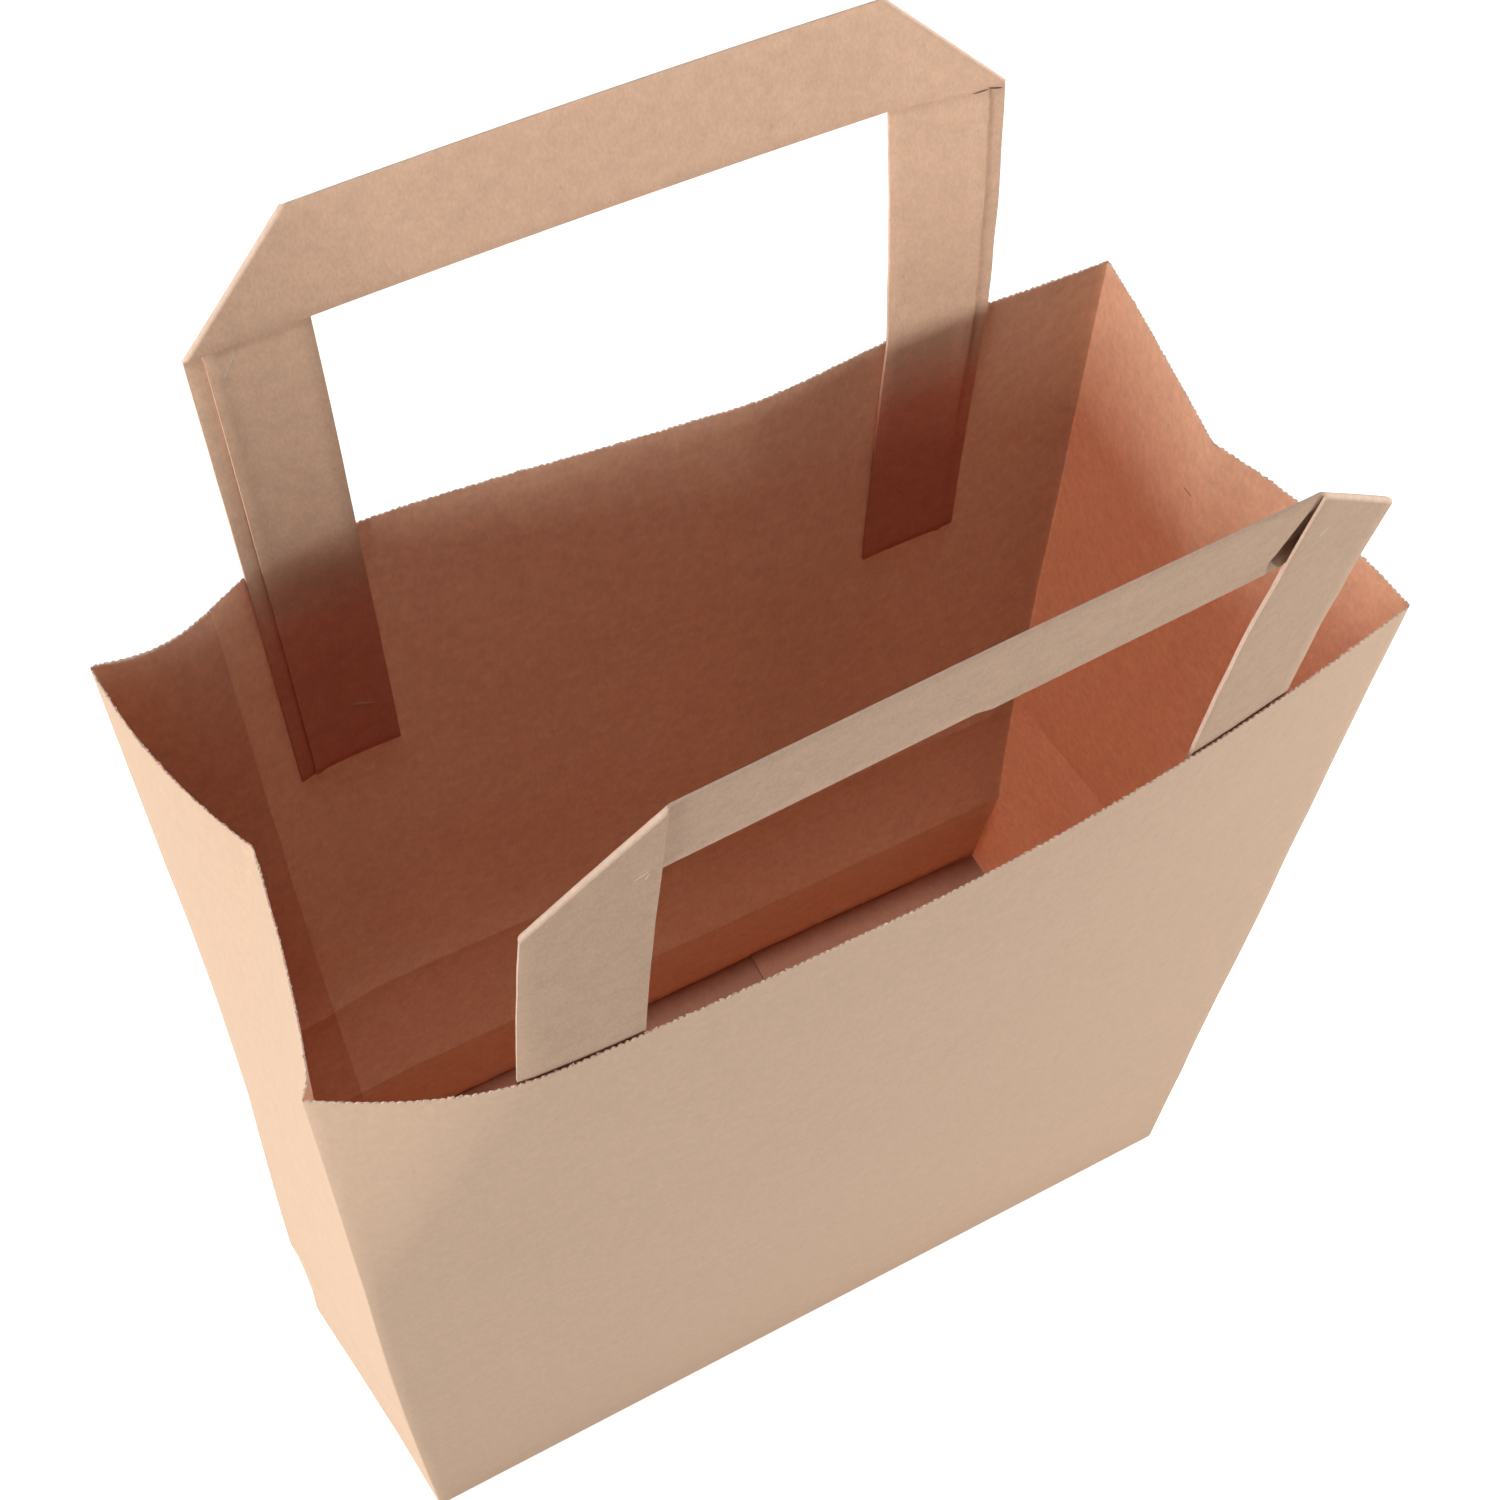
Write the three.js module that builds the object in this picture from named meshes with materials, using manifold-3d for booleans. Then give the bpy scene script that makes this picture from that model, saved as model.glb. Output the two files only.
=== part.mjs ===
// A brown paper carrier bag: one folded sheet with side gussets and a block bottom, and two flat handles,
// each a paper strip folded over at its upper corners and glued inside a wall.
// Millimetres, +Z up. The origin is on the underside, in the middle of the base. -Y is the front wall.
import * as THREE from "three";
import { mergeVertices } from "three/addons/utils/BufferGeometryUtils.js";
import Module from "manifold-3d";

const wasm = await Module();
wasm.setup();

// Bag sizes, as the bag stands open
const BAG_WIDTH = 220;
const BAG_DEPTH = 100;
const BAG_HEIGHT = 280;
const PAPER = 0.3;

// Block bottom: end flaps inside, the last long flap outside
const END_FLAP = 77;
const LONG_FLAP = 70;

// How far each rim corner stands from straight above its bottom corner
const FRONT_LEFT_RIM = { x: 2, y: -5.7 };
const FRONT_RIGHT_RIM = { x: 1.1, y: 1.9 };
const BACK_RIGHT_RIM = { x: -5.1, y: -2.4 };
const BACK_LEFT_RIM = { x: -0.6, y: -1.5 };

// Front wall: an outward bow, and a left corner that is bent in along a diagonal,
// which runs from a point along the rim to a point down the corner edge
const FRONT_BOW = 12.1;
const FRONT_BOW_LEFT_POWER = 2.3;
const FRONT_BOW_RIGHT_POWER = 3;
const CORNER_BEND = { depth: 11, along: 36, down: 82 };

// Back wall: an outward bow beside each handle leg, a left corner that curls forward, and a kink between
// the handle legs. A sharpness of 2 is a round bow, 1 a crease.
const BACK_LEFT_BOW = { height: 8.7, x: -71.5, leftReach: 19.2, rightReach: 72, sharpness: 2 };
const BACK_RIGHT_BOW = { height: 2.1, x: 56.8, leftReach: 17.4, rightReach: 38, sharpness: 2 };
const BACK_CURL = { height: -4.2, x: -103.8, leftReach: 5, rightReach: 18.5, sharpness: 2 };
const BACK_KINK = { height: -1.9, x: 23.3, leftReach: 30, rightReach: 27.2, sharpness: 1 };
const BACK_BOWS = [BACK_LEFT_BOW, BACK_RIGHT_BOW, BACK_CURL, BACK_KINK];
const BACK_HOLD_POWER = 6;

// How fast the bows of both long walls grow from the base to the rim
const BOW_GROWTH = 1.25;

// Outward belly of the left corner edges between base and rim
const FRONT_LEFT_BELLY = 1.5;
const BACK_LEFT_BELLY = 0.9;

// Back wall creases left by the flat-folded bottom: pushed in at half the depth, an imprint at the full depth
const CREASE_PINCH = 5.5;
const IMPRINT_PINCH = 2.5;

// Gussets: tucked in at the rim, popped out where the bottom's diagonal folds meet
// A hold above 1 keeps the centre fold popped out higher up before it tucks in. A curl above 1 keeps a half
// flat near its corner edge, and a belly rounds it out below the rim.
const GUSSET_POP = 7.2;
const LEFT_FOLD = { sign: -1, tuck: 11.3, hold: 2 };
const RIGHT_FOLD = { sign: 1, tuck: 9.2, hold: 1 };
const LEFT_REAR = { fold: LEFT_FOLD, curl: 2, belly: 1 };
const LEFT_FRONT = { fold: LEFT_FOLD, curl: 0.6, belly: 0 };
const RIGHT_REAR = { fold: RIGHT_FOLD, curl: 1.2, belly: 0 };
const RIGHT_FRONT = { fold: RIGHT_FOLD, curl: 1.9, belly: 0 };

// Handles
const STRIP_WIDTH = 22.8;
const STRIP_THICKNESS = 0.6;
const SEAM_INSET = 3.4;
const SEAM_PLY = 0.25;
const HANDLE_WIDTH = 155.5;
const GLUED_LENGTH = 75;
const GLUE_GAP = 0.3;
const PLY_OVERLAP = 0.1;
const FOLD_STEP = 0.3;
const GAPE_REACH = 60;

// Each handle leans out of the bag at the rim and bends out further up to its bar.
// sway is how far the bar stands to the right of the feet, tip how much higher its right end is
// than its left, turn how far the right corner is turned in towards the bag, and gape how far the right leg's
// inner edge stands off the bar behind it, because the corner fold has sprung open. arch is how much higher
// the bar is in its middle.
const FRONT_HANDLE = {
  name: "front_handle",
  side: -1,
  x: 2.3,
  rise: 84.4,
  leanDeg: 0.8,
  bendDeg: 5.4,
  sway: 2,
  tip: 1.2,
  turn: 1.8,
  gape: 0.5,
  arch: 0,
};
const REAR_HANDLE = {
  name: "rear_handle",
  side: 1,
  x: -1.2,
  rise: 76.4,
  leanDeg: 8.3,
  bendDeg: 6.8,
  sway: 1.4,
  tip: 4.9,
  turn: 2,
  gape: 0,
  arch: 1.2,
};

// Mesh steps
const WALL_COLUMNS = 24;
const GUSSET_STEPS = 6;
const IMPRINT_ROWS = 3;
const UPPER_ROWS = 8;
const STRIP_COLUMNS = 4;
const LEG_ROWS = 18;
const GLUED_ROWS = 10;
const BAR_COLUMNS = 18;
const MITRE_LIMIT = 0.3;
const MERGE_DISTANCE = 0.001;

// Colours
const SHEET_COLOR = 0xc49a72;
const STRIP_COLOR = 0xbf9a78;

const CREASE_HEIGHT = BAG_DEPTH / 2;
const IMPRINT_HEIGHT = BAG_DEPTH;
const HALF_WIDTH = BAG_WIDTH / 2;
const HALF_DEPTH = BAG_DEPTH / 2;
const { lerp, degToRad, smoothstep, clamp } = THREE.MathUtils;

// Height shares
const heightShare = (z) => z / BAG_HEIGHT;
const bowShare = (z) => heightShare(z) ** BOW_GROWTH;

// A vertical corner edge: straight from its bottom corner to its rim corner.
function cornerEdge(signX, signY, rim, z) {
  const share = heightShare(z);
  return { x: signX * HALF_WIDTH + rim.x * share, y: signY * HALF_DEPTH + rim.y * share };
}

// How far the back wall is pushed in at a height: a sharp crease, then an imprint, then straight to the rim.
function backPinch(z) {
  if (z <= CREASE_HEIGHT) return (CREASE_PINCH * z) / CREASE_HEIGHT;
  if (z <= IMPRINT_HEIGHT) {
    return lerp(CREASE_PINCH, IMPRINT_PINCH, (z - CREASE_HEIGHT) / (IMPRINT_HEIGHT - CREASE_HEIGHT));
  }
  return IMPRINT_PINCH * (1 - (z - IMPRINT_HEIGHT) / (BAG_HEIGHT - IMPRINT_HEIGHT));
}

// How far the front wall's left corner is bent in: nothing on the diagonal, most at the rim corner.
function cornerBend(x, z) {
  const { depth, along, down } = CORNER_BEND;
  const fromCorner = x + HALF_WIDTH - FRONT_LEFT_RIM.x;
  const share = 1 - fromCorner / along - (BAG_HEIGHT - z) / down;
  return depth * Math.max(share, 0) ** 2;
}

// The four corners of the section at a height, before the corner bend.
function cornersAt(z) {
  const swell = Math.sin(Math.PI * heightShare(z));
  const frontLeft = cornerEdge(-1, -1, FRONT_LEFT_RIM, z);
  const frontRight = cornerEdge(1, -1, FRONT_RIGHT_RIM, z);
  const backRight = cornerEdge(1, 1, BACK_RIGHT_RIM, z);
  const backLeft = cornerEdge(-1, 1, BACK_LEFT_RIM, z);
  frontLeft.x -= FRONT_LEFT_BELLY * swell;
  backLeft.x -= BACK_LEFT_BELLY * swell;
  backRight.y -= backPinch(z);
  backLeft.y -= backPinch(z);
  return { frontLeft, frontRight, backRight, backLeft };
}

// The bow of each long wall at a share of its width, at the rim. Out of the bag is positive.
function frontBow(share) {
  const rise = 1 - (1 - share) ** FRONT_BOW_LEFT_POWER;
  const fall = 1 - share ** FRONT_BOW_RIGHT_POWER;
  return FRONT_BOW * rise * fall;
}

function bowAt({ height, x, leftReach, rightReach, sharpness }, at) {
  const reach = at < x ? leftReach : rightReach;
  return height * Math.exp(-(Math.abs((at - x) / reach) ** sharpness));
}

function backBow(x, share) {
  const heldAtCorners = 1 - (2 * share - 1) ** BACK_HOLD_POWER;
  return heldAtCorners * BACK_BOWS.reduce((total, bow) => total + bowAt(bow, x), 0);
}

// Outer surface of a long wall. side is -1 for the front wall and 1 for the back wall.
function wallY(side, x, z) {
  const corners = cornersAt(z);
  const left = side < 0 ? corners.frontLeft : corners.backLeft;
  const right = side < 0 ? corners.frontRight : corners.backRight;
  const share = clamp((x - left.x) / (right.x - left.x), 0, 1);
  const bow = side < 0 ? frontBow(share) : backBow(x, share);
  const bend = side < 0 ? cornerBend(x, z) : 0;
  return lerp(left.y, right.y, share) + side * bow * bowShare(z) + bend;
}

// How far a gusset half stands out of the bag. inset is 0 at the corner edge and 1 at the centre fold.
function gussetOut({ fold, curl, belly }, inset, z) {
  if (z <= CREASE_HEIGHT) return GUSSET_POP * Math.min(inset, z / CREASE_HEIGHT);
  const share = (z - CREASE_HEIGHT) / (BAG_HEIGHT - CREASE_HEIGHT);
  const folded = lerp(GUSSET_POP, -fold.tuck, share ** fold.hold) * inset ** lerp(1, curl, share);
  return folded + belly * Math.sin(Math.PI * inset) * Math.sin(Math.PI * share);
}

// One gusset half from its corner edge to the centre fold, as section points.
function gussetHalf(half, corner, opposite, z) {
  const points = [];
  const middle = { x: (corner.x + opposite.x) / 2, y: (corner.y + opposite.y) / 2 };
  for (let step = 0; step <= GUSSET_STEPS; step += 1) {
    const inset = step / GUSSET_STEPS;
    const x = lerp(corner.x, middle.x, inset) + half.fold.sign * gussetOut(half, inset, z);
    points.push(new THREE.Vector2(x, lerp(corner.y, middle.y, inset)));
  }
  return points;
}

// A long wall from its left corner to its right corner, as section points.
function longWall(side, z) {
  const corners = cornersAt(z);
  const left = side < 0 ? corners.frontLeft : corners.backLeft;
  const right = side < 0 ? corners.frontRight : corners.backRight;
  const points = [];
  for (let column = 0; column <= WALL_COLUMNS; column += 1) {
    const x = lerp(left.x, right.x, column / WALL_COLUMNS);
    points.push(new THREE.Vector2(x, wallY(side, x, z)));
  }
  return points;
}

// The whole outer section at a height, anticlockwise seen from above, without repeated corners.
function sectionAt(z) {
  const { frontLeft, frontRight, backRight, backLeft } = cornersAt(z);
  frontLeft.y = wallY(-1, frontLeft.x, z);
  const pieces = [
    longWall(-1, z),
    gussetHalf(RIGHT_FRONT, frontRight, backRight, z),
    gussetHalf(RIGHT_REAR, backRight, frontRight, z).reverse(),
    longWall(1, z).reverse(),
    gussetHalf(LEFT_REAR, backLeft, frontLeft, z),
    gussetHalf(LEFT_FRONT, frontLeft, backLeft, z).reverse(),
  ];
  return pieces.flatMap((piece) => piece.slice(0, -1));
}

// A closed section moved inwards by a distance, with mitred corners.
function insetSection(section, distance) {
  return section.map((point, index) => {
    const before = section.at(index - 1);
    const after = section[(index + 1) % section.length];
    const into = point.clone().sub(before).normalize();
    const out = after.clone().sub(point).normalize();
    const normal = new THREE.Vector2(-into.y - out.y, into.x + out.x).normalize();
    const mitre = Math.max(normal.dot(new THREE.Vector2(-into.y, into.x)), MITRE_LIMIT);
    return point.clone().addScaledVector(normal, distance / mitre);
  });
}

// Heights of the mesh rows, with a row on each crease. The lowest rows match the gusset's columns,
// so that the diagonal folds run through the mesh's corners.
function rowHeights() {
  const rows = [];
  for (let row = 0; row < GUSSET_STEPS; row += 1) {
    rows.push(lerp(0, CREASE_HEIGHT, row / GUSSET_STEPS));
  }
  for (let row = 0; row < IMPRINT_ROWS; row += 1) {
    rows.push(lerp(CREASE_HEIGHT, IMPRINT_HEIGHT, row / IMPRINT_ROWS));
  }
  for (let row = 0; row <= UPPER_ROWS; row += 1) {
    rows.push(lerp(IMPRINT_HEIGHT, BAG_HEIGHT, row / UPPER_ROWS));
  }
  return rows;
}

// A geometry with shared corners, made from points and triangles.
function meshGeometry(points, triangles) {
  const geometry = new THREE.BufferGeometry().setFromPoints(points);
  geometry.setIndex(triangles);
  return geometry;
}

// The folded sheet's walls and its middle floor ply: an outer and an inner skin joined at the rim.
function bagShell() {
  const floor = PAPER;
  const rows = rowHeights();
  const skins = [
    rows.map((z) => ({ z: Math.max(z, floor), loop: sectionAt(z) })),
    rows.map((z) => ({ z: Math.max(z, 2 * floor), loop: insetSection(sectionAt(z), PAPER) })),
  ];
  const columns = skins[0][0].loop.length;
  const rowPoints = ({ z, loop }) => loop.map((point) => new THREE.Vector3(point.x, point.y, z));
  const points = skins.flat().flatMap(rowPoints);
  const at = (skin, row, column) => (skin * rows.length + row) * columns + (column % columns);
  const triangles = [];
  const quad = (a, b, c, d, flip) => triangles.push(...(flip ? [a, b, d, b, c, d] : [a, b, c, a, c, d]));
  // Columns whose quads are split the other way, so that the split follows the diagonal fold there.
  const rising = (column) => {
    const afterFront = column - WALL_COLUMNS;
    const afterBack = afterFront - 2 * GUSSET_STEPS - WALL_COLUMNS;
    const onRightRear = afterFront >= GUSSET_STEPS && afterFront < 2 * GUSSET_STEPS;
    const onLeftFront = afterBack >= GUSSET_STEPS;
    return onRightRear || onLeftFront;
  };
  for (let row = 0; row + 1 < rows.length; row += 1) {
    for (let column = 0; column < columns; column += 1) {
      const next = column + 1;
      const flip = rising(column);
      quad(at(0, row, column), at(0, row, next), at(0, row + 1, next), at(0, row + 1, column), flip);
      quad(at(1, row, next), at(1, row, column), at(1, row + 1, column), at(1, row + 1, next), flip);
    }
  }
  const top = rows.length - 1;
  for (let column = 0; column < columns; column += 1) {
    const next = column + 1;
    quad(at(0, top, column), at(0, top, next), at(1, top, next), at(1, top, column), false);
  }
  const floorFaces = (skin, turned) => {
    for (const face of THREE.ShapeUtils.triangulateShape(skins[skin][0].loop, [])) {
      const corners = face.map((corner) => at(skin, 0, corner));
      triangles.push(...(turned ? corners.reverse() : corners));
    }
  };
  floorFaces(0, true);
  floorFaces(1, false);
  return meshGeometry(points, triangles);
}

// A flat ply with a given outline, from one height to another.
function ply(outline, low, high) {
  const shape = new THREE.Shape(outline.map(([x, y]) => new THREE.Vector2(x, y)));
  const geometry = new THREE.ExtrudeGeometry(shape, { depth: high - low, bevelEnabled: false });
  return geometry.translate(0, 0, low);
}

// A geometry as a solid that can be joined.
function solidOf(geometry) {
  const bare = geometry.clone();
  bare.deleteAttribute("normal");
  bare.deleteAttribute("uv");
  const merged = mergeVertices(bare, MERGE_DISTANCE);
  const vertProperties = new Float32Array(merged.getAttribute("position").array);
  const triVerts = new Uint32Array(merged.index.array);
  return new wasm.Manifold(new wasm.Mesh({ numProp: 3, vertProperties, triVerts }));
}

function joined(geometries) {
  const mesh = geometries.map(solidOf).reduce((whole, piece) => whole.add(piece)).getMesh();
  const geometry = new THREE.BufferGeometry();
  geometry.setAttribute("position", new THREE.BufferAttribute(mesh.vertProperties, 3));
  geometry.setIndex(new THREE.BufferAttribute(mesh.triVerts, 1));
  geometry.computeVertexNormals();
  return geometry;
}

// The bag: walls and floor ply, an end flap at each side inside, the outer long flap under the floor.
function bagBody() {
  const innerDepth = HALF_DEPTH - PAPER;
  const innerWidth = HALF_WIDTH - PAPER;
  const endFlap = (sign) => {
    const outline = [
      [sign * (innerWidth - END_FLAP), -innerDepth],
      [sign * innerWidth, -innerDepth],
      [sign * innerWidth, innerDepth],
      [sign * (innerWidth - END_FLAP), innerDepth],
    ];
    return ply(outline, 2 * PAPER - PLY_OVERLAP, 3 * PAPER);
  };
  const longFlap = ply(
    [
      [-HALF_WIDTH + LONG_FLAP, HALF_DEPTH - LONG_FLAP],
      [HALF_WIDTH - LONG_FLAP, HALF_DEPTH - LONG_FLAP],
      [innerWidth, innerDepth],
      [-innerWidth, innerDepth],
    ],
    0,
    PAPER + PLY_OVERLAP,
  );
  return joined([bagShell(), endFlap(-1), endFlap(1), longFlap]);
}

// Places a point of a handle. along is across the bag, up is along the strip from the rim,
// inward is from the strip's outer face towards the inside of the bag.
// Below the rim the strip follows the wall; above it the strip runs straight into a plain sheet that curves
// out of the bag.
function handlePlace(handle) {
  const { side, rise, sway, tip, turn, arch } = handle;
  const lean = degToRad(handle.leanDeg);
  const bend = degToRad(handle.bendDeg);
  const clear = PAPER + GLUE_GAP;
  const legX = (HANDLE_WIDTH - STRIP_WIDTH) / 2;
  const rimAt = (x) => wallY(side, x, BAG_HEIGHT) - side * clear;
  const leftY = rimAt(handle.x - legX);
  const rightY = rimAt(handle.x + legX);
  const turnStart = HANDLE_WIDTH / 2 - STRIP_WIDTH;
  return (along, up, inward) => {
    const risen = clamp(up / (rise - STRIP_WIDTH), 0, 1);
    const fromMiddle = along / HANDLE_WIDTH;
    const lift = tip * fromMiddle + arch * (1 - (2 * fromMiddle) ** 2);
    const length = Math.max(up + risen * lift, 0);
    const angle = lean + (bend * length) / rise;
    const out = (rise / bend) * (Math.cos(lean) - Math.cos(angle));
    const high = (rise / bend) * (Math.sin(angle) - Math.sin(lean));
    const x = handle.x + along + sway * risen;
    const z = BAG_HEIGHT + (up > 0 ? high : up);
    const onWall = wallY(side, x, Math.min(z, BAG_HEIGHT)) - side * clear;
    const onSheet = lerp(leftY, rightY, (along + legX) / (2 * legX));
    const turned = risen * turn * (Math.max(along - turnStart, 0) / STRIP_WIDTH);
    return new THREE.Vector3(x, lerp(onWall, onSheet, risen) + side * (out - inward - turned), z);
  };
}

// A slab of the strip: a box whose corners are given by a placing function of three shares from 0 to 1.
function slab(columns, rows, place) {
  const geometry = new THREE.BoxGeometry(1, 1, 1, columns, 1, rows);
  const corners = geometry.getAttribute("position");
  const corner = new THREE.Vector3();
  for (let index = 0; index < corners.count; index += 1) {
    corner.fromBufferAttribute(corners, index).addScalar(0.5);
    const placed = place(corner.x, corner.y, corner.z);
    corners.setXYZ(index, placed.x, placed.y, placed.z);
  }
  return geometry;
}

// One handle: two legs, a crossbar on their inner side, 45 degree corner folds,
// and the strip's seam on each leg.
function handleGeometry(handle) {
  const place = handlePlace(handle);
  const halfHandle = HANDLE_WIDTH / 2;
  const barLow = handle.rise - STRIP_WIDTH;
  // Height on a leg at a share of its rows: one row lies on the rim, where the leg bends.
  const upOnLeg = (share, top) => {
    const aboveRim = share * LEG_ROWS - GLUED_ROWS;
    if (aboveRim <= 0) return (GLUED_LENGTH * aboveRim) / GLUED_ROWS;
    return (top * aboveRim) / (LEG_ROWS - GLUED_ROWS);
  };
  // How far the sprung right corner moves a leg and the bar outwards. Both agree along the fold.
  const legGape = (along, up) => {
    const fromEdge = clamp((halfHandle - along) / STRIP_WIDTH, 0, 1);
    return along > 0 ? handle.gape * clamp(up / barLow, 0, 1) * fromEdge : 0;
  };
  const barGape = (along, up) => {
    const legEdge = halfHandle - STRIP_WIDTH;
    return handle.gape * smoothstep(along, legEdge - GAPE_REACH, legEdge) * ((up - barLow) / STRIP_WIDTH);
  };
  // The slab's box turns inside out when its thickness runs against +Y.
  const thickness = (share, low, high) => (handle.side < 0 ? lerp(low, high, share) : lerp(high, low, share));
  const leg = (sign, outerInset, foldInset, low, high) =>
    slab(STRIP_COLUMNS, LEG_ROWS, (across, through, upward) => {
      const outer = -halfHandle + outerInset;
      const inner = -halfHandle + STRIP_WIDTH;
      const along = sign < 0 ? lerp(outer, inner, across) : -lerp(inner, outer, across);
      const foldTop = barLow + halfHandle - Math.abs(along) - foldInset;
      const up = upOnLeg(upward, foldTop);
      return place(along, up, thickness(through, low, high) - legGape(along, up));
    });
  const crossbar = slab(BAR_COLUMNS, STRIP_COLUMNS, (across, through, upward) => {
    const up = lerp(barLow, handle.rise, upward);
    const end = halfHandle - (up - barLow);
    const low = STRIP_THICKNESS - PLY_OVERLAP;
    const along = lerp(-end, end, across);
    return place(along, up, thickness(through, low, low + STRIP_THICKNESS) - barGape(along, up));
  });
  const seamLow = STRIP_THICKNESS / 2;
  const seamHigh = STRIP_THICKNESS + SEAM_PLY;
  return joined([
    leg(-1, 0, FOLD_STEP, 0, STRIP_THICKNESS),
    leg(1, 0, FOLD_STEP, 0, STRIP_THICKNESS),
    leg(-1, SEAM_INSET, 2 * FOLD_STEP, seamLow, seamHigh),
    leg(1, SEAM_INSET, 2 * FOLD_STEP, seamLow, seamHigh),
    crossbar,
  ]);
}

function piece(name, geometry, color) {
  const material = new THREE.MeshStandardMaterial({ color, roughness: 0.9, metalness: 0 });
  const mesh = new THREE.Mesh(geometry, material);
  mesh.name = name;
  return mesh;
}

const bag = new THREE.Group();
bag.add(piece("bag_body", bagBody(), SHEET_COLOR));
for (const handle of [FRONT_HANDLE, REAR_HANDLE]) {
  bag.add(piece(handle.name, handleGeometry(handle), STRIP_COLOR));
}

export default bag;
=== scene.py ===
# %% [markdown]
# This lesson dresses an open carrier bag of brown paper: one folded sheet with side gussets and a block
# bottom, and two flat strip handles glued inside its rim. The solids of the part are the frame. Every
# piece below is modelled in metres in the same frame, so nothing has to be fitted by eye.

# %% Load the frame
import math
import random

import bmesh
import bpy
from mathutils import Matrix, Vector, noise
from mathutils.bvhtree import BVHTree


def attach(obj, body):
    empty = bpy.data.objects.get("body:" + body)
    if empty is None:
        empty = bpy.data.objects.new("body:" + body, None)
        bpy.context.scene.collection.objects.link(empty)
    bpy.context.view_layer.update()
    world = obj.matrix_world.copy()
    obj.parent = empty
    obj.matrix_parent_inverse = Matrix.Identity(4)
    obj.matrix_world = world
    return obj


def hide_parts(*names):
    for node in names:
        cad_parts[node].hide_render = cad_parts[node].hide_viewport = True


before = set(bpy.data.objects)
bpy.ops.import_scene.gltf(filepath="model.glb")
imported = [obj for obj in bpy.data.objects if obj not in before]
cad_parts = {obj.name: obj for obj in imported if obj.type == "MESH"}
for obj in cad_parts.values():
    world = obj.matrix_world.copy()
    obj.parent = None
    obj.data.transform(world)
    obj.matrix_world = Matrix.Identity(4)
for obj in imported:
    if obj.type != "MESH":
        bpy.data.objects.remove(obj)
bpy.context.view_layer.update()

bpy.ops.object.select_all(action="DESELECT")
print("solids loaded:", sorted(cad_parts))

# %% [markdown]
# The bag was folded flat and then opened by hand, so no wall is quite straight any more. Its main sizes
# and the way each wall has given are named here once. The same few numbers shape the sheet and place the
# handles, and that is why the strips still lie on the walls wherever those bow.

# %% Sizes of the bag
MM = 0.001
WIDTH = 220 * MM
DEPTH = 100 * MM
HEIGHT = 280 * MM
PAPER = 0.3 * MM
CREASE_HEIGHT = DEPTH / 2
IMPRINT_HEIGHT = DEPTH
print("bag, mm:", [round(size / MM) for size in (WIDTH, DEPTH, HEIGHT)])

# %% How the opened walls have given
LEFT, RIGHT, FRONT, BACK = -1, 1, -1, 1
RIM_SHIFT = {
    (LEFT, FRONT): (2.0 * MM, -5.7 * MM),
    (RIGHT, FRONT): (1.1 * MM, 1.9 * MM),
    (RIGHT, BACK): (-5.1 * MM, -2.4 * MM),
    (LEFT, BACK): (-0.6 * MM, -1.5 * MM),
}
LEFT_BELLY = {FRONT: 1.5 * MM, BACK: 0.9 * MM}
CREASE_PINCH = 5.5 * MM
IMPRINT_PINCH = 2.5 * MM
FRONT_BOW = 12.1 * MM
FRONT_BOW_POWERS = (2.3, 3.0)
CORNER_BEND = {"depth": 11 * MM, "along": 36 * MM, "down": 82 * MM, "power": 1.6}
BACK_BOWS = (
    {"height": 8.7 * MM, "x": -71.5 * MM, "left": 19.2 * MM, "right": 72 * MM, "sharpness": 2},
    {"height": 2.1 * MM, "x": 56.8 * MM, "left": 17.4 * MM, "right": 38 * MM, "sharpness": 2},
    {"height": -4.2 * MM, "x": -103.8 * MM, "left": 5 * MM, "right": 18.5 * MM, "sharpness": 2},
    {"height": -1.9 * MM, "x": 23.3 * MM, "left": 30 * MM, "right": 27.2 * MM, "sharpness": 1},
)
BACK_HOLD_POWER = 6
BOW_GROWTH = 1.25


def mix(a, b, share):
    return a + (b - a) * share


def clamp(value):
    return max(0.0, min(1.0, value))


def smooth(value, low, high):
    share = clamp((value - low) / (high - low))
    return share * share * (3 - 2 * share)


def back_pinch(z):
    """How far the fold-up crease and the imprint above it draw the back wall in."""
    if z <= CREASE_HEIGHT:
        return CREASE_PINCH * z / CREASE_HEIGHT
    if z <= IMPRINT_HEIGHT:
        return mix(CREASE_PINCH, IMPRINT_PINCH, (z - CREASE_HEIGHT) / (IMPRINT_HEIGHT - CREASE_HEIGHT))
    return IMPRINT_PINCH * (1 - (z - IMPRINT_HEIGHT) / (HEIGHT - IMPRINT_HEIGHT))


def corner_edge(side_x, side_y, z):
    """One of the four upright corner edges at a height."""
    share = z / HEIGHT
    shift_x, shift_y = RIM_SHIFT[(side_x, side_y)]
    x = side_x * WIDTH / 2 + shift_x * share
    y = side_y * DEPTH / 2 + shift_y * share
    if side_x == LEFT:
        x -= LEFT_BELLY[side_y] * math.sin(math.pi * share)
    if side_y == BACK:
        y -= back_pinch(z)
    return x, y


# %% The long walls
def corner_bend(x, z):
    """The front wall's left corner is bent in: nothing on a diagonal line, most at the rim corner."""
    from_corner = x + WIDTH / 2 - RIM_SHIFT[(LEFT, FRONT)][0]
    share = 1 - from_corner / CORNER_BEND["along"] - (HEIGHT - z) / CORNER_BEND["down"]
    return CORNER_BEND["depth"] * max(share, 0) ** CORNER_BEND["power"]


def front_bow(share):
    left_power, right_power = FRONT_BOW_POWERS
    return FRONT_BOW * (1 - (1 - share) ** left_power) * (1 - share**right_power)


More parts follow.
